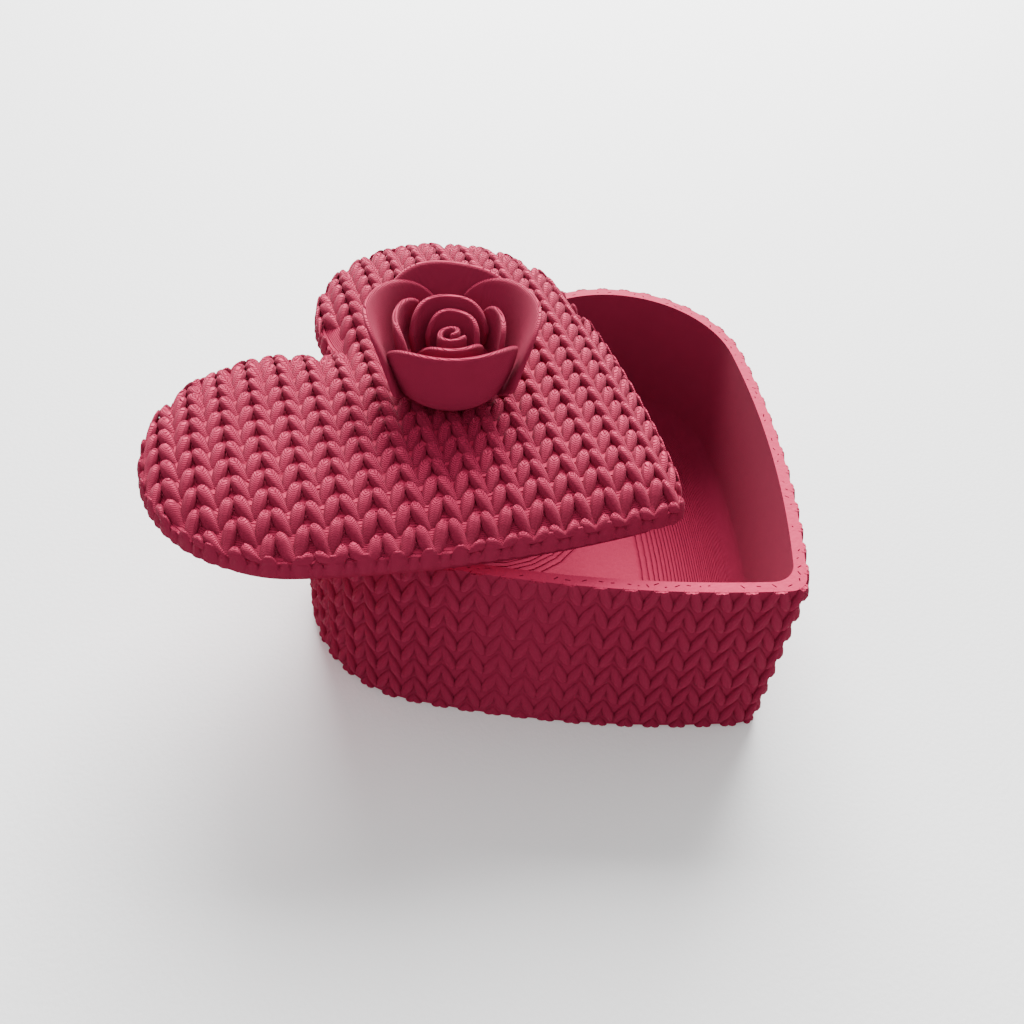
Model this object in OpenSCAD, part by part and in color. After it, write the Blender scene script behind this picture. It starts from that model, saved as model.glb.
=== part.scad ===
// Heart-shaped trinket box with a loose, cushion-topped lid and a rose on the lid.
// Millimetres. +Z is up and the heart's tip points along -Y. The origin is on the underside
// of the box, at the middle of its footprint. The lid lies ajar: turned, shifted and resting
// on the rim with the flat underside of its plug.

/* [Heart outline] */
// Length from the tops of the lobes to the tip
heart_l = 100; // [90:1:110]
// Radius of the two lobes
lobe_r = 30; // [29:0.5:31]
// Distance of each lobe's centre from the middle line
lobe_x = 27.5; // [27:0.5:28]
// Radius of the tip
tip_r = 4.5; // [3.5:0.5:5.5]
// Radius of the long, slightly bowed sides
side_r = 240; // [220:5:280]

/* [Box body] */
// Height of the box
box_h = 44; // [40:1:50]
// Thickness of the wall at the rim
wall = 3.4; // [2.8:0.2:4]
// Thickness of the floor at its lowest point
floor_t = 2.6; // [2:0.2:4]
// Height that the dished floor climbs to the wall
dish_h = 12; // [8:1:14]
// How far in from the wall the dish would reach its lowest point
dish_w = 30; // [26:1:34]
// Radius inside the tip of the cavity
corner_r = 5.5; // [5:0.5:7]

/* [Lid] */
// Height of the cushion above the lid's lower edge
cushion_h = 9; // [7:0.2:12]
// Fullness of the cushion's edge, where 2 is an ellipse
cushion_full = 2.4; // [2:0.1:3]
// Height of the plug that drops into the box
plug_h = 4.6; // [4:0.2:6]
// Gap between the plug and the wall of the box when the lid is closed
plug_gap = 0.3; // [0.2:0.1:0.5]
// Turn of the lid as it lies ajar
lid_turn = 16.3; // [10:0.1:20]
// Sideways shift of the lid as it lies ajar
lid_x = -21.7; // [-24:0.1:-18]
// Lengthways shift of the lid as it lies ajar
lid_y = 23.3; // [20:0.1:26]

/* [Rose] */
// Place of the rose along the lid, from the middle of its footprint
rose_y = 3; // [0:0.5:6]
// Turn of the rose on the lid
rose_turn = -65.5; // [-180:0.5:180]
// Radius of the rose where it stands on the lid
foot_r = 8.6; // [8:0.2:9.6]
// Height of the tallest outer petal above the lid
rose_h = 18.2; // [16:0.2:20]
// Radius of the rose over its flared outer petals
rose_r = 17; // [16:0.5:18]
// Thickness of the petals
petal_t = 1.2; // [1:0.1:1.6]
// Height to which the bowl under the petals is solid
bowl_h = 6; // [5:0.5:7]
// Radius of that solid bowl at its top
bowl_r = 10.8; // [10.4:0.1:11]
// Height of the rolled bud in the middle
bud_h = 13; // [12:0.2:14]

/* [Hidden] */

shell_colour = [0.70, 0.10, 0.22];
notch_r = 0.5;
deepest = 22; // largest inset at which the outline keeps its shape
ring_steps = 10;
root_z = 1; // height inside the bowl at which the petals and the bud start
lobe_y = heart_l / 2 - lobe_r;
edge_z = box_h + plug_h; // height of the lid's lower edge, with its plug on the rim

// Each long side is an arc that runs smoothly into the lobe and the tip: its centre is where
// circles about the lobe's centre and the tip's centre cross.
tip_y = tip_r - heart_l / 2;
to_lobe = side_r - lobe_r;
to_tip = side_r - tip_r;
lobe_to_tip = [-lobe_x, tip_y - lobe_y];
span = norm(lobe_to_tip);
foot = (to_lobe * to_lobe - to_tip * to_tip + span * span) / (2 * span);
out = sqrt(to_lobe * to_lobe - foot * foot);
side_x = lobe_x + (foot * lobe_to_tip[0] + out * lobe_to_tip[1]) / span;
side_y = lobe_y + (foot * lobe_to_tip[1] - out * lobe_to_tip[0]) / span;
notch_y = lobe_y + sqrt(pow(lobe_r + notch_r, 2) - lobe_x * lobe_x);

// Points of an arc, without its first one
function arc(cx, cy, r, a0, a1, n) =
    [for (i = [1:n]) let (a = a0 + (a1 - a0) * i / n) [cx + r * cos(a), cy + r * sin(a)]];

// Right half of the heart from tip to notch, moved in by an inset and with its own tip radius
function half_heart(inset, r) =
    let (ty = side_y - sqrt(pow(side_r - inset - r, 2) - side_x * side_x),
         at_tip = atan2(ty - side_y, -side_x),
         at_lobe = atan2(lobe_y - side_y, lobe_x - side_x),
         at_notch = atan2(notch_y - lobe_y, -lobe_x))
    concat([[0, ty - r]],
           arc(0, ty, r, -90, at_tip, 5),
           arc(side_x, side_y, side_r - inset, at_tip, at_lobe, 6),
           arc(lobe_x, lobe_y, lobe_r - inset, at_lobe, at_notch, 30),
           arc(0, notch_y, notch_r + inset, at_notch - 180, -90, 4));

function heart(inset, r) =
    let (half = half_heart(inset, r), n = len(half))
    concat(half, [for (i = [n - 2:-1:1]) [-half[i][0], half[i][1]]]);

function heart_ring(inset, r, z) = [for (p = heart(inset, r)) [p[0], p[1], z]];

// Closed solid through rings of equal length, stacked from the bottom up
module skin(rings) {
    n = len(rings[0]);
    m = len(rings);
    sides = [for (i = [0:m - 2], j = [0:n - 1])
        let (k = (j + 1) % n, a = i * n)
        for (f = [[a + j, a + n + j, a + n + k], [a + j, a + n + k, a + k]]) f];
    caps = [[for (j = [0:n - 1]) j], [for (j = [n - 1:-1:0]) (m - 1) * n + j]];
    polyhedron([for (ring = rings) for (p = ring) p], concat(caps, sides));
}

// Wall, rounded inside the tip, over a floor that is dished like a shallow bowl
module box_body() {
    dish_z = floor_t + dish_h;
    start = asin(1 - deepest / dish_w);
    dish_rings = [for (i = [0:ring_steps])
        let (a = start + (90 - start) * i / ring_steps)
        heart_ring(wall + dish_w * (1 - sin(a)), corner_r, floor_t + dish_h * (1 - cos(a)))];
    color(shell_colour)
    difference() {
        linear_extrude(box_h) polygon(heart(0, tip_r));
        skin(dish_rings);
        translate([0, 0, dish_z]) linear_extrude(box_h) polygon(heart(wall, corner_r));
    }
}

module lay_lid() {
    translate([lid_x, lid_y, edge_z]) rotate([0, 0, lid_turn]) children();
}

// Cushion over a flat plug that fits inside the rim
module lid() {
    plug_in = wall + plug_gap;
    cushion_rings = [for (i = [0:ring_steps])
        let (a = 90 * i / ring_steps, inset = deepest * (1 - cos(a)),
             rise = pow(1 - pow(1 - inset / deepest, cushion_full), 1 / cushion_full))
        heart_ring(inset, tip_r, cushion_h * rise)];
    color(shell_colour)
    lay_lid() {
        skin(cushion_rings);
        translate([0, 0, -plug_h]) linear_extrude(plug_h) polygon(heart(plug_in, corner_r - plug_gap));
    }
}

// Closed solid between two grids of points of the same size
module sheet(front, back) {
    m = len(front);
    n = len(front[0]);
    function at(side, i, j) = side * m * n + i * n + j;
    function quad(a, b, c, d) = [[a, b, c], [a, c, d]];
    faces = [
        for (i = [0:m - 2], j = [0:n - 2]) each concat(
            quad(at(0, i, j), at(0, i + 1, j), at(0, i + 1, j + 1), at(0, i, j + 1)),
            quad(at(1, i, j), at(1, i, j + 1), at(1, i + 1, j + 1), at(1, i + 1, j))),
        for (j = [0:n - 2]) each concat(
            quad(at(0, 0, j), at(0, 0, j + 1), at(1, 0, j + 1), at(1, 0, j)),
            quad(at(0, m - 1, j), at(1, m - 1, j), at(1, m - 1, j + 1), at(0, m - 1, j + 1))),
        for (i = [0:m - 2]) each concat(
            quad(at(0, i, 0), at(1, i, 0), at(1, i + 1, 0), at(0, i + 1, 0)),
            quad(at(0, i, n - 1), at(0, i + 1, n - 1), at(1, i + 1, n - 1), at(1, i, n - 1)))];
    polyhedron([for (g = [front, back]) for (row = g) for (p = row) p], faces);
}

// A petal: a curved sheet about the rose's axis, from a foot inside the bowl to a rounded edge.
// It swells outwards from its foot and may flare at the top, and its edge falls at both sides.
module petal(middle, half, foot, top, flare, height, fall) {
    rows = 7;
    cols = 12;
    function place(i, j, depth) =
        let (u = i / rows, v = 2 * j / cols - 1,
             r = foot + (top - foot) * sin(90 * u) + flare * pow(u, 5) - depth,
             a = middle + half * v,
             z = root_z + (height * (1 - fall * pow(abs(v), 3)) - root_z) * u)
        [r * sin(a), -r * cos(a), z];
    sheet([for (i = [0:rows]) [for (j = [0:cols]) place(i, j, 0)]],
          [for (i = [0:rows]) [for (j = [0:cols]) place(i, j, petal_t)]]);
}

// The bud's rolled petal: a spiral wall, each length of it the hull of two posts
module bud() {
    posts = 14;
    turn = 420;
    first_r = 0.8;
    last_r = 3;
    function post(i) =
        let (a = turn * i / posts, r = first_r + (last_r - first_r) * i / posts) [r * sin(a), -r * cos(a)];
    for (i = [0:posts - 1]) hull() for (p = [post(i), post(i + 1)])
        translate([p[0], p[1], root_z]) cylinder(h = bud_h - root_z, d = petal_t, $fn = 16);
}

// Each row: middle angle, half angle, foot radius, top radius, flare, height, fall at the sides
outer_petals = [
    [12, 66, foot_r, 13, 0, 15.6, 0.22],
    [-98, 58, foot_r, 15, rose_r - 15, 17.4, 0.12],
    [116, 55, foot_r, 15, rose_r - 15, 17.8, 0.12],
    [-172, 55, foot_r, 15.4, rose_r - 15.4, rose_h, 0.1]];
inner_petals = [
    [-72, 50, 6.5, 10.6, 0, 15.2, 0.2],
    [118, 40, 6.5, 9.8, 0, 15, 0.2],
    [-155, 58, 5.5, 8.2, 0, 15.8, 0.15],
    [18, 76, 3.5, 5.8, 0, 13.2, 0.1],
    [165, 70, 3, 5.2, 0, 14.4, 0.1]];

module rose() {
    color(shell_colour)
    lay_lid() translate([0, rose_y, cushion_h]) rotate([0, 0, rose_turn]) {
        cylinder(h = bowl_h, r1 = foot_r, r2 = bowl_r, $fn = 48);
        for (p = concat(outer_petals, inner_petals)) petal(p[0], p[1], p[2], p[3], p[4], p[5], p[6]);
        bud();
    }
}

box_body();
lid();
rose();
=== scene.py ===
"""Looks of a heart-shaped printed trinket box: knit walls, a cushioned lid lying ajar and a rose on it.

Sizes are in millimetres until a mesh is placed, and the frame gives where the box, lid and rose are.
"""
import math
import random

import bpy
import numpy as np
from mathutils import Matrix, Vector
from mathutils.kdtree import KDTree


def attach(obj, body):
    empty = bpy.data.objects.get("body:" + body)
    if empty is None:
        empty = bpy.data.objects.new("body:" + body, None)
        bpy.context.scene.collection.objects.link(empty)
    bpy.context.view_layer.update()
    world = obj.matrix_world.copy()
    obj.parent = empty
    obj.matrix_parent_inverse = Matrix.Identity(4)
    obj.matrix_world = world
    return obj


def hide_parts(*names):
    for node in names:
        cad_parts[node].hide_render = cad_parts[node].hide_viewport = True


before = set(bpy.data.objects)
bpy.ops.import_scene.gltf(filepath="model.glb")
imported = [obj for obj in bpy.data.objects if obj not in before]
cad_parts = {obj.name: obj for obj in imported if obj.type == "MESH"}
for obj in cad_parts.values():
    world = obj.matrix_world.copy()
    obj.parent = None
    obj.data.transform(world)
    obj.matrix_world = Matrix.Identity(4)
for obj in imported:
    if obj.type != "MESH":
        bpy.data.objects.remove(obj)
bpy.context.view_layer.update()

MM = 0.001

# The heart outline, the same one that the box, its cavity, the lid and the plug are cut from
HEART_LENGTH = 100
LOBE_RADIUS = 30
LOBE_X = 27.5
LOBE_Y = HEART_LENGTH / 2 - LOBE_RADIUS
TIP_RADIUS = 4.5
SIDE_RADIUS = 240
NOTCH_RADIUS = 0.5

# The box
BOX_HEIGHT = 44
WALL = 3.4
FLOOR = 2.6
DISH_HEIGHT = 12
DISH_WIDTH = 30
CAVITY_TIP_RADIUS = 5.5
DEEPEST_INSET = 22

# The lid as it lies ajar
CUSHION_HEIGHT = 9
CUSHION_FULLNESS = 2.4
PLUG_HEIGHT = 4.6
PLUG_INSET = 3.7
LID_TURN = math.radians(16.3)
LID_PLACE = Vector((-21.7, 23.3, BOX_HEIGHT + PLUG_HEIGHT))

# The rose on the lid
ROSE_PLACE = Vector((0, 3, CUSHION_HEIGHT))
ROSE_TURN = math.radians(-65.5)

# The knit of the wall
COLUMNS = 61
ROW_PITCH = 6.17
TOP_ROW = 38.6
WALL_RELIEF = 1.0

# The knit of the lid: steps along a column and across to the next one
LID_RELIEF = 1.5
EDGE_BAND = 2.8  # height of the plain ridges round the lid's edge
LID_ROW = 4.6
LID_COLUMN = 6.03
LID_FIRST_ROW, LID_FIRST_COLUMN = -0.1, 0.78  # where the pattern starts, in steps
CORE_INSET = 0.95
SHOULDER = 2.4  # the knit keeps the height it has this far in, right out to the edge
LID_COLUMN_ANGLE = math.radians(45)
LID_ACROSS_ANGLE = math.radians(138)

PETAL = 1.1
LAYER = 0.2


# ---------------------------------------------------------------- heart outline

def arc(centre, radius, start, end, steps):
    """Points along an arc, without its first one."""
    turn = start + (end - start) * np.arange(1, steps + 1) / steps
    return np.column_stack([centre[0] + radius * np.cos(turn), centre[1] + radius * np.sin(turn)])


def side_centre():
    """Centre of the right side's long arc, which touches both the lobe's circle and the tip's."""
    tip_y = TIP_RADIUS - HEART_LENGTH / 2
    to_lobe, to_tip = SIDE_RADIUS - LOBE_RADIUS, SIDE_RADIUS - TIP_RADIUS
    along = np.array([-LOBE_X, tip_y - LOBE_Y])
    span = np.linalg.norm(along)
    foot = (to_lobe ** 2 - to_tip ** 2 + span ** 2) / (2 * span)
    out = math.sqrt(to_lobe ** 2 - foot ** 2)
    return (LOBE_X + (foot * along[0] + out * along[1]) / span,
            LOBE_Y + (foot * along[1] - out * along[0]) / span)


SIDE_X, SIDE_Y = side_centre()
NOTCH_Y = LOBE_Y + math.sqrt((LOBE_RADIUS + NOTCH_RADIUS) ** 2 - LOBE_X ** 2)


def heart(inset=0.0, tip=TIP_RADIUS, fine=1):
    """The heart moved in by an inset, anticlockwise from the tip, with its own tip radius."""
    tip_y = SIDE_Y - math.sqrt((SIDE_RADIUS - inset - tip) ** 2 - SIDE_X ** 2)
    at_tip = math.atan2(tip_y - SIDE_Y, -SIDE_X)
    at_lobe = math.atan2(LOBE_Y - SIDE_Y, LOBE_X - SIDE_X)
    at_notch = math.atan2(NOTCH_Y - LOBE_Y, -LOBE_X)
    half = np.vstack([
        [[0, tip_y - tip]],
        arc((0, tip_y), tip, -math.pi / 2, at_tip, 8 * fine),
        arc((SIDE_X, SIDE_Y), SIDE_RADIUS - inset, at_tip, at_lobe, 24 * fine),
        arc((LOBE_X, LOBE_Y), LOBE_RADIUS - inset, at_lobe, at_notch, 44 * fine),
        arc((0, NOTCH_Y), NOTCH_RADIUS + inset, at_notch - math.pi, -math.pi / 2, 4 * fine)])
    return np.vstack([half, half[-2:0:-1] * [-1, 1]])


class Edge:
    """The outline of the heart, measured along its length from the tip."""

    def __init__(self, inset=0.0):
        points = heart(inset, fine=12)
        after, before = np.roll(points, -1, 0), np.roll(points, 1, 0)
        along = after - before
        along /= np.linalg.norm(along, axis=1)[:, None]
        self.points = points
        self.normals = np.column_stack([along[:, 1], -along[:, 0]])
        steps = np.linalg.norm(after - points, axis=1)
        self.reach = np.concatenate([[0], np.cumsum(steps)])
        self.length = self.reach[-1]
        self.tree = KDTree(len(points))
        for i, (x, y) in enumerate(points):
            self.tree.insert((x, y, 0), i)
        self.tree.balance()

    def at(self, run):
        """Points and outward normals at distances along the outline."""
        run = np.mod(run, self.length)
        loop = [np.append(v, v[0]) for v in (*self.points.T, *self.normals.T)]
        x, y, nx, ny = (np.interp(run, self.reach, v) for v in loop)
        return np.column_stack([x, y]), np.column_stack([nx, ny])

    def inset(self, plan):
        """How far inside the outline each plan point lies, and the index of the nearest outline point."""
        depth, nearest = np.empty(len(plan)), np.empty(len(plan), int)
        for i, (x, y) in enumerate(plan):
            _, k, _ = self.tree.find((x, y, 0))
            depth[i] = (self.points[k] - (x, y)) @ self.normals[k]
            nearest[i] = k
        return depth, nearest


EDGE = Edge()


# ---------------------------------------------------------------- modelling helpers

def deselect():
    bpy.ops.object.select_all(action="DESELECT")


def pick(*objects):
    """Only these objects are selected, and the first is active."""
    deselect()
    for o in objects:
        o.select_set(True)
    bpy.context.view_layer.objects.active = objects[0]


def edit(obj, *steps):
    """Runs edit-mode steps with all of obj selected."""
    pick(obj)
    bpy.ops.object.mode_set(mode="EDIT")
    bpy.ops.mesh.select_all(action="SELECT")
    for step in steps:
        step()
    bpy.ops.object.mode_set(mode="OBJECT")


def outward(obj):
    edit(obj, lambda: bpy.ops.mesh.normals_make_consistent(inside=False))


def smooth(obj, degrees=40):
    pick(obj)
    bpy.ops.object.shade_smooth_by_angle(angle=math.radians(degrees))


def coordinates(obj):
    co = np.empty(len(obj.data.vertices) * 3)
    obj.data.vertices.foreach_get("co", co)
    return co.reshape(-1, 3) / MM


def place_vertices(obj, points):
    obj.data.vertices.foreach_set("co", (np.asarray(points) * MM).ravel())
    obj.data.update()


def loft(name, rings):
    """A closed solid through rings of equal length: a filled loop, extruded from ring to ring."""
    rings = [np.asarray(r, float) for r in rings]
    bpy.ops.mesh.primitive_circle_add(vertices=len(rings[0]), radius=MM, fill_type="NGON")
    obj = bpy.context.object
    obj.name = name
    place_vertices(obj, rings[0])
    for before, after in zip(rings, rings[1:]):
        bpy.ops.object.mode_set(mode="EDIT")
        bpy.ops.mesh.extrude_region_move()
        bpy.ops.object.mode_set(mode="OBJECT")
        co = coordinates(obj)
        for v in obj.data.vertices:
            if v.select:
                co[v.index] = after[np.argmin(((before - co[v.index]) ** 2).sum(1))]
        place_vertices(obj, co)
    outward(obj)
    return obj


def level(ring, z):
    """A plan ring at a height."""
    return np.column_stack([ring, np.full(len(ring), z)])


def lid_to_row(points):
    """From the lid's own frame, on its lower edge, to the row frame."""
    x, y, z = np.asarray(points, float).T
    c, s = math.cos(LID_TURN), math.sin(LID_TURN)
    return np.column_stack([c * x - s * y + LID_PLACE.x, s * x + c * y + LID_PLACE.y, z + LID_PLACE.z])


def rose_to_row(points):
    """From the rose's own frame, on top of the lid, to the row frame."""
    x, y, z = np.asarray(points, float).T
    c, s = math.cos(ROSE_TURN), math.sin(ROSE_TURN)
    return lid_to_row(np.column_stack([c * x - s * y + ROSE_PLACE.x, s * x + c * y + ROSE_PLACE.y,
                                       z + ROSE_PLACE.z]))


def copies(pattern, name, placings):
    """Copies of a pattern, each with its own mesh bent by its own placing."""
    flat = coordinates(pattern)
    made = []
    for placing in placings:
        piece = pattern.copy()
        piece.data = pattern.data.copy()
        bpy.context.collection.objects.link(piece)
        place_vertices(piece, placing(flat))
        made.append(piece)
    return made


def joined(name, objects):
    pick(*objects)
    bpy.ops.object.join()
    whole = bpy.context.object
    whole.name = name
    whole.data.name = name
    return whole


def remove(obj):
    bpy.data.objects.remove(obj)


def finish_piece(obj, body, material):
    obj.data.materials.clear()
    obj.data.materials.append(material)
    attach(obj, body)
    return obj


# ---------------------------------------------------------------- printed plastic

class Value:
    """A number inside a material's node tree, so that sums on it are written as sums."""

    def __init__(self, finish, socket):
        self.finish = finish
        self.socket = socket

    def sum(self, operation, *others):
        return self.finish.node("ShaderNodeMath", {"operation": operation}, [self, *others])

    def __add__(self, other):
        return self.sum("ADD", other)

    __radd__ = __add__

    def __mul__(self, other):
        return self.sum("MULTIPLY", other)

    __rmul__ = __mul__

    def __sub__(self, other):
        return self.sum("SUBTRACT", other)

    def __rsub__(self, other):
        return self * -1 + other

    def __truediv__(self, other):
        return self.sum("DIVIDE", other)

    def fraction(self):
        return self.sum("FRACT")

    def at_most(self, other):
        return self.sum("MINIMUM", other)

    def at_least(self, other):
        return self.sum("MAXIMUM", other)


class Finish:
    """A material and its nodes."""

    def __init__(self, name):
        self.material = bpy.data.materials.new(name)
        self.material.use_nodes = True
        self.nodes = self.material.node_tree.nodes
        self.links = self.material.node_tree.links
        self.shader = self.nodes["Principled BSDF"]

    def node(self, kind, settings=None, inputs=(), output=0):
        made = self.nodes.new(kind)
        for key, value in (settings or {}).items():
            setattr(made, key, value)
        pairs = inputs.items() if isinstance(inputs, dict) else enumerate(inputs)
        for key, value in pairs:
            if isinstance(value, Value):
                self.links.new(value.socket, made.inputs[key])
            else:
                made.inputs[key].default_value = value
        return Value(self, made.outputs[output])

    def set(self, **inputs):
        for key, value in inputs.items():
            socket = self.shader.inputs[key.replace("_", " ")]
            if isinstance(value, Value):
                self.links.new(value.socket, socket)
            else:
                socket.default_value = value


def printed_plastic(name, colour):
    """Matt plastic laid down in 0.2 mm layers: flat treads with a small riser between them, and painted shade that
    darkens the colour along the risers.
    """
    f = Finish(name)
    place = f.node("ShaderNodeTexCoord", output="Object")
    wobble = f.node("ShaderNodeTexNoise", inputs={"Vector": place, "Scale": 700.0, "Detail": 2.0})
    speckle = f.node("ShaderNodeTexNoise", inputs={"Vector": place, "Scale": 2600.0, "Detail": 1.0})
    fibre = f.node("ShaderNodeTexNoise", inputs={"Vector": place, "Scale": 260.0, "Detail": 3.0})
    height = f.node("ShaderNodeSeparateXYZ", inputs=[place], output="Z")
    layers = (height + wobble * (0.25 * LAYER * MM)) / (LAYER * MM)
    step = layers.fraction()
    riser = step.at_most((1.0 - step) * 4.0)
    relief = riser * (-3.0 * LAYER * MM) + speckle * (0.05 * MM)
    normal = f.node("ShaderNodeBump", inputs={"Strength": 1.0, "Distance": 1.0, "Height": relief})
    # Painted shade: along the layer risers the colour is mixed towards 0.4 of itself, and a faint random fibre tone
    # is the plastic's own.
    groove_shade_and_fibre_tone = ((riser - 0.4) * 2.0).at_least(0.0) * 0.62 + fibre * 0.12
    colour_with_groove_shade = f.node("ShaderNodeMix", {"data_type": "RGBA"}, {"Factor": groove_shade_and_fibre_tone, "A": (*colour, 1),
                                                          "B": tuple(0.4 * c for c in colour) + (1,)}, output=2)
    f.set(Base_Color=colour_with_groove_shade, Roughness=0.65, Specular_IOR_Level=0.05, Normal=normal)
    return f.material


RASPBERRY = (0.54, 0.034, 0.1)
box_plastic = printed_plastic("box_plastic", RASPBERRY)
lid_plastic = printed_plastic("lid_plastic", RASPBERRY)
rose_plastic = printed_plastic("rose_plastic", RASPBERRY)


# ---------------------------------------------------------------- the box

def box_shell():
    """Wall, flat rim, smooth cavity and dished floor, in one closed turn of rings."""
    dish_top = FLOOR + DISH_HEIGHT
    start = math.asin(1 - DEEPEST_INSET / DISH_WIDTH)
    turns = np.linspace(math.pi / 2, start, 13)
    outer = heart(WALL_RELIEF)
    inner = heart(WALL, CAVITY_TIP_RADIUS)
    dish = [level(heart(WALL + DISH_WIDTH * (1 - math.sin(a)), CAVITY_TIP_RADIUS),
                  FLOOR + DISH_HEIGHT * (1 - math.cos(a))) for a in turns]
    rings = [level(outer, 0), level(outer, BOX_HEIGHT), level(inner, BOX_HEIGHT), level(inner, dish_top), *dish[1:]]
    return loft("box_shell", rings)


def stitch_leg(length, width, depth, tuck, taper):
    """One leg of a stitch: a rounded grain whose upper end narrows and tucks in behind the next row."""
    bpy.ops.mesh.primitive_uv_sphere_add(segments=10, ring_count=8, radius=0.5 * MM)
    leg = bpy.context.object
    edit(leg, lambda: bpy.ops.transform.resize(value=(width, depth, length)))
    co = coordinates(leg)
    up = co[:, 2] / (length / 2)
    narrow = 1 - taper * np.clip(up + 0.3, 0, 1)
    co[:, 0] *= narrow
    co[:, 1] = co[:, 1] * narrow - tuck * up
    place_vertices(leg, co)
    return leg


def lean(obj, angle, across, up):
    """The grain leans sideways and moves to its place in the stitch."""
    co = coordinates(obj)
    c, s = math.cos(angle), math.sin(angle)
    turned = np.column_stack([c * co[:, 0] + s * co[:, 2], co[:, 1], -s * co[:, 0] + c * co[:, 2]])
    place_vertices(obj, turned + [across, 0, up])


def cut_level(obj, z, keep_below):
    """Cuts the grain flat at a height and closes the cut."""
    side = 1 if keep_below else -1
    edit(obj, lambda: bpy.ops.mesh.bisect(plane_co=(0, 0, z * MM), plane_no=(0, 0, side),
                                          clear_outer=True, use_fill=True))


def on_wall(run):
    """Bends a stitch round the wall at a distance along the outline. Its y is how far out it stands.
    Halfway along the two long sides the knit is pressed flatter."""
    from_tip = min(run, EDGE.length - run)
    stand = 1 - 0.4 * math.exp(-((from_tip - 52) / 18) ** 2)
    def placing(flat):
        spots, normals = EDGE.at(run + flat[:, 0])
        out = flat[:, 1:2] * stand - WALL_RELIEF
        return np.column_stack([spots + normals * out, flat[:, 2]])
    return placing


def wall_knit():
    """Columns of nested V stitches round the wall, cut flat at the rim and at the foot."""
    pitch = EDGE.length / COLUMNS
    length, width = 8.0, 2.6
    legs = []
    row = 0
    while TOP_ROW - row * ROW_PITCH > -length + 1.5:
        foot = TOP_ROW - row * ROW_PITCH
        for side in (-1, 1):
            leg = stitch_leg(length, width, 2.2 * WALL_RELIEF, 0.3, 0.35)
            lean(leg, side * math.radians(21), side * 1.75, foot + length / 2 - 0.3)
            co = coordinates(leg)
            if co[:, 2].max() > BOX_HEIGHT:
                cut_level(leg, BOX_HEIGHT - 0.03, True)
            if co[:, 2].min() < 0:
                cut_level(leg, 0.03, False)
            legs += copies(leg, "leg", [on_wall(pitch * (k + 0.5)) for k in range(COLUMNS)])
            remove(leg)
        row += 1
    return joined("box_knit", legs)


def rim_gaps(shell):
    """Small gaps along the middle of the rim, where the inner and outer lines of plastic don't meet."""
    draw = random.Random(5)
    middle = Edge((WALL + WALL_RELIEF) / 2)
    marks = []
    run = 1.0
    while run < middle.length:
        length, turn, side = draw.uniform(0.3, 1.1), draw.uniform(-1.1, 1.1), draw.uniform(-0.45, 0.3)
        spot, normal = middle.at(np.array([run]))
        bpy.ops.mesh.primitive_cube_add(size=MM)
        mark = bpy.context.object
        angle = math.atan2(normal[0, 1], normal[0, 0]) + math.pi / 2 + turn
        c, s = math.cos(angle), math.sin(angle)
        co = coordinates(mark) * [length, 0.22, 0.8]
        plan = np.column_stack([c * co[:, 0] - s * co[:, 1], s * co[:, 0] + c * co[:, 1]])
        place_vertices(mark, np.column_stack([plan + spot + normal * side, co[:, 2] + BOX_HEIGHT]))
        marks.append(mark)
        run += draw.choice((1.7, 2.2, 3.1, 6.4))
    cutter = joined("rim_gap_cutter", marks)
    pick(shell)
    cut = shell.modifiers.new("gaps", "BOOLEAN")
    cut.object = cutter
    cut.solver = "MANIFOLD"
    bpy.ops.object.modifier_apply(modifier="gaps")
    remove(cutter)


shell = box_shell()
rim_gaps(shell)
smooth(shell, 35)
finish_piece(shell, "box", box_plastic)
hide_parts("box_body")
wall = wall_knit()
smooth(wall, 50)
finish_piece(wall, "box", box_plastic)


# ---------------------------------------------------------------- the lid

def dome(depth):
    """Height of the cushion at an inset from its outline."""
    share = np.clip(depth / DEEPEST_INSET, 0, 1)
    return CUSHION_HEIGHT * (1 - (1 - share) ** CUSHION_FULLNESS) ** (1 / CUSHION_FULLNESS)


def lid_core():
    """The cushion under its stitches, a little lower and narrower than their crests."""
    insets = SHOULDER + (DEEPEST_INSET - SHOULDER) * np.linspace(0, 1, 14) ** 1.5
    lip = [level(heart(0.35), z) for z in (0, 0.9)]
    wall = lip + [level(heart(CORE_INSET), z) for z in (1.8, dome(SHOULDER) - LID_RELIEF - 0.9)]
    top = [level(heart(d), dome(d) - LID_RELIEF - 0.5) for d in insets]
    return loft("lid_cushion", [lid_to_row(r) for r in wall + top])


def lid_plug():
    ring = heart(PLUG_INSET, CAVITY_TIP_RADIUS - 0.3)
    return loft("lid_plug", [lid_to_row(level(ring, z)) for z in (-PLUG_HEIGHT, 0.2)])


def on_lid(spot):
    """Lays a stitch on the cushion from straight above, held inside the outline."""
    def placing(flat):
        plan = flat[:, :2] + spot
        depth, nearest = EDGE.inset(plan)
        pressed = np.where(depth < SHOULDER, 0.3 + (SHOULDER - 0.3) * np.exp((depth - SHOULDER) / 2.0), depth)
        plan = plan + EDGE.normals[nearest] * (depth - pressed)[:, None]
        stand = flat[:, 2] * (0.4 + 0.6 * np.clip(pressed / SHOULDER, 0, 1))
        height = dome(np.maximum(pressed, SHOULDER)) - LID_RELIEF + stand
        return lid_to_row(np.column_stack([plan, np.maximum(height, EDGE_BAND)]))
    return placing


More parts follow.
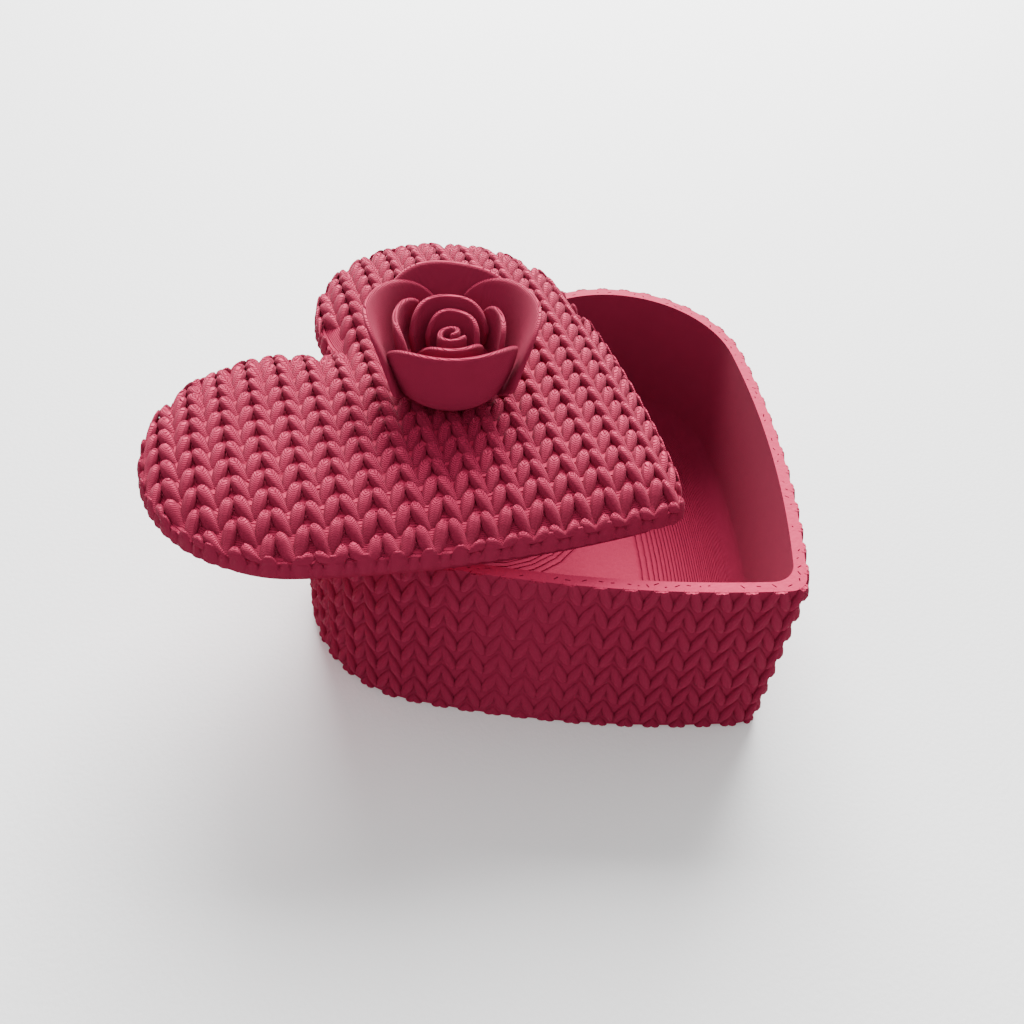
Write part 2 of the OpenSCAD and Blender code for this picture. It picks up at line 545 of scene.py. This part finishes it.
def lid_leg(side):
    """One leg of a lid stitch, lying with its round end at the stitch's apex and sinking at its foot."""
    length, width, depth = 6.6, 2.4, 1.9 * LID_RELIEF
    leg = stitch_leg(length, width, depth, 0, 0)
    co = coordinates(leg)
    along = co[:, 2] / (length / 2)
    swell = 1 + 0.55 * along
    flat = np.column_stack([co[:, 0] * swell, co[:, 2], -co[:, 1] * swell])
    flat[:, 2] += 1.2 * along - 0.5
    turn = side * math.radians(26)
    back = np.array([0, -length / 2 + 1.0])
    c, s = math.cos(turn), math.sin(turn)
    moved = flat[:, :2] + back
    turned = np.column_stack([c * moved[:, 0] - s * moved[:, 1] + side * 1.0, s * moved[:, 0] + c * moved[:, 1]])
    aim = LID_COLUMN_ANGLE - math.pi / 2
    c, s = math.cos(aim), math.sin(aim)
    place_vertices(leg, np.column_stack([c * turned[:, 0] - s * turned[:, 1], s * turned[:, 0] + c * turned[:, 1],
                                         flat[:, 2]]))
    return leg


def lid_knit():
    """Diagonal columns of stitches over the cushion."""
    along = LID_ROW * np.array([math.cos(LID_COLUMN_ANGLE), math.sin(LID_COLUMN_ANGLE)])
    across = LID_COLUMN * np.array([math.cos(LID_ACROSS_ANGLE), math.sin(LID_ACROSS_ANGLE)])
    spots = []
    for i in range(-16, 17):
        for j in range(-14, 15):
            spot = (i + LID_FIRST_ROW) * along + (j + LID_FIRST_COLUMN) * across
            depth, _ = EDGE.inset([spot - along * 0.3])
            near_notch = math.dist(spot, (0, NOTCH_Y)) < 8
            if depth[0] > (1.6 if near_notch else -0.6):
                spots.append(spot)
    legs = []
    for side in (-1, 1):
        leg = lid_leg(side)
        legs += copies(leg, "leg", [on_lid(s) for s in spots])
        remove(leg)
    return joined("lid_knit", legs)


def edge_knit():
    """Soft upright ridges round the cushion's lower edge, cut flat underneath."""
    count = 62
    pitch = EDGE.length / count
    ridges = []
    for width, top, turn in ((3.9, 4.4, 0), (3.0, 3.1, 0.5)):
        ridge = stitch_leg(8.0, width, 1.7, 0, 0)
        lean(ridge, 0, 0, top - 4.0)
        cut_level(ridge, 0.03, False)
        ridges += copies(ridge, "ridge", [round_lid(pitch * (k + turn)) for k in range(count)])
        remove(ridge)
    return joined("lid_edge_knit", ridges)


def round_lid(run):
    """Bends a stitch round the lid's edge at a distance along the outline."""
    def placing(flat):
        spots, normals = EDGE.at(run + flat[:, 0])
        out = flat[:, 1:2] - 0.9 - 0.06 * flat[:, 2:3]
        return lid_to_row(np.column_stack([spots + normals * out, flat[:, 2]]))
    return placing


core = lid_core()
smooth(core, 40)
finish_piece(core, "lid", lid_plastic)
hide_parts("lid")
plug = lid_plug()
smooth(plug, 40)
finish_piece(plug, "lid", lid_plastic)
for knit in (lid_knit(), edge_knit()):
    smooth(knit, 50)
    finish_piece(knit, "lid", lid_plastic)


# ---------------------------------------------------------------- the rose

def petal(name, middle, half, foot, top, flare, height, ends, curl=(0, 0), wave=0.15, phase=0.0, full=0.7):
    """A thin curved sheet about the rose's axis, from inside the bowl up to a soft, rounded edge.
    ends says how far the edge falls at either end, as a share of the height, and curl how far each end turns in."""
    bpy.ops.mesh.primitive_grid_add(x_subdivisions=36, y_subdivisions=14, size=2 * MM)
    obj = bpy.context.object
    obj.name = name
    co = coordinates(obj)
    v, u = co[:, 0], (co[:, 1] + 1) / 2
    first, last = np.clip(-v, 0, 1), np.clip(v, 0, 1)
    fall = ends[0] * first ** 4 + ends[1] * last ** 4
    turned_in = (curl[0] * first ** 3 + curl[1] * last ** 3) * u ** 2
    radius = foot + (top - foot) * np.sin(math.pi / 2 * u ** full) + flare * u ** 5 - turned_in
    radius = radius + wave * np.sin(5 * v + phase) * u ** 2
    angle = np.radians(middle + half * (0.72 + 0.28 * np.sqrt(u)) * v)
    z = 0.6 + (height * (1 - fall) - 0.6 + 1.5 * wave * np.sin(4 * v + phase)) * u
    place_vertices(obj, rose_to_row(np.column_stack([radius * np.sin(angle), -radius * np.cos(angle), z])))
    return thin_petal(obj)


def thin_petal(obj):
    """Gives a petal its thickness and a rounded edge."""
    pick(obj)
    wall = obj.modifiers.new("thickness", "SOLIDIFY")
    wall.thickness = PETAL * MM
    wall.offset = 0
    soft = obj.modifiers.new("soft", "SUBSURF")
    soft.levels = soft.render_levels = 1
    for modifier in ("thickness", "soft"):
        bpy.ops.object.modifier_apply(modifier=modifier)
    outward(obj)
    smooth(obj, 60)
    return finish_piece(obj, "lid", rose_plastic)


def rose_bowl():
    turns = np.linspace(0, 2 * math.pi, 64, endpoint=False)
    def ring(r, z):
        return rose_to_row(np.column_stack([r * np.cos(turns), r * np.sin(turns), np.full(len(turns), z)]))
    profile = [(7.4, -0.6), (8.2, 0), (9.6, 0.9), (10.8, 2.2), (11.5, 3.6), (11.4, 5.0), (10.6, 5.6)]
    bowl = loft("rose_bowl", [ring(r, z) for r, z in profile])
    smooth(bowl, 50)
    return finish_piece(bowl, "lid", rose_plastic)


def bud():
    """The rolled petal in the middle: a thin strip wound into a spiral."""
    bpy.ops.mesh.primitive_grid_add(x_subdivisions=60, y_subdivisions=8, size=2 * MM)
    obj = bpy.context.object
    obj.name = "rose_bud"
    co = coordinates(obj)
    t, u = (co[:, 0] + 1) / 2, (co[:, 1] + 1) / 2
    turn = math.radians(430) * t
    radius = 0.7 + 2.3 * t
    z = 1 + (11.8 + 0.4 * np.sin(turn)) * u
    place_vertices(obj, rose_to_row(np.column_stack([radius * np.sin(turn), -radius * np.cos(turn), z])))
    return thin_petal(obj)


bowl = rose_bowl()
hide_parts("rose")
petal("rose_petal_front", 10, 68, 8.6, 13.0, 0.2, 16.0, (0.3, 0.16), curl=(0.2, -0.2), wave=0.25, phase=0.4)
petal("rose_petal_left", -98, 60, 8.4, 14.2, 2.4, 17.0, (0.25, 0.74), curl=(4.8, 1.8), phase=1.0, full=0.78)
petal("rose_petal_right", 118, 58, 8.4, 14.4, 2.6, 17.6, (0.7, 0.25), curl=(1.8, 4.8), phase=2.0, full=0.78)
petal("rose_petal_back", -172, 56, 8.2, 14.8, 1.8, 18.0, (0.3, 0.3), phase=0.0, full=0.85)
petal("rose_inner_left", -84, 50, 6.5, 10.8, 0, 16.2, (0.12, 0.55), curl=(0.8, 0), wave=0.05)
petal("rose_inner_right", 112, 40, 6.5, 10.0, 0, 15.2, (0.55, 0.3), wave=0.05)
petal("rose_inner_back", -165, 72, 5.5, 8.0, 0, 15.8, (0.35, 0.35), wave=0.05)
petal("rose_centre_front", 15, 74, 3.5, 6.0, 0, 12.9, (0.25, 0.2), wave=0.1, phase=0.9)
petal("rose_centre_back", 172, 84, 3.0, 5.0, 0, 14.4, (0.3, 0.3), wave=0.05)
bud()


# ---------------------------------------------------------------- table, light and camera

def white_table():
    f = Finish("white_table")
    place = f.node("ShaderNodeTexCoord", output="Object")
    grain = f.node("ShaderNodeTexNoise", inputs={"Vector": place, "Scale": 900.0, "Detail": 2.0})
    normal = f.node("ShaderNodeBump", inputs={"Strength": 0.15, "Distance": 0.0004, "Height": grain})
    f.set(Base_Color=(0.86, 0.86, 0.86, 1), Roughness=0.6, Normal=normal)
    bpy.ops.mesh.primitive_plane_add(size=6)
    table = bpy.context.object
    table.name = "table_top"
    table.data.materials.append(f.material)


def area_light(name, place, aim, size, power):
    bpy.ops.object.light_add(type="AREA", location=place)
    lamp = bpy.context.object
    lamp.name = name
    lamp.data.size = size
    lamp.data.energy = power
    lamp.rotation_euler = (Vector(aim) - Vector(place)).to_track_quat("-Z", "Y").to_euler()


def camera():
    """Looks down at the box from beyond its left side, a little rolled."""
    heading, drop, roll = math.radians(40.86), math.radians(44.85), math.radians(6.28)
    bpy.ops.object.camera_add()
    cam = bpy.context.object
    turn = Matrix.Rotation(heading - math.pi / 2, 3, "Z")
    tilt = Matrix.Rotation(math.pi / 2 - drop, 3, "X")
    cam.matrix_world = (turn @ tilt @ Matrix.Rotation(roll, 3, "Z")).to_4x4()
    cam.location = Vector((-136.8, -93.0, 187.0)) * MM
    cam.data.lens = 36.38
    cam.data.sensor_width = 36
    cam.data.clip_start = 0.01
    bpy.context.scene.camera = cam


world = bpy.context.scene.world or bpy.data.worlds.new("room")
bpy.context.scene.world = world
world.use_nodes = True
world.node_tree.nodes["Background"].inputs["Color"].default_value = (1, 1, 1, 1)
world.node_tree.nodes["Background"].inputs["Strength"].default_value = 1.08
deselect()
white_table()
area_light("window", (1.0, 0.92, 0.95), (0, 0, 0.03), 1.4, 140)
camera()
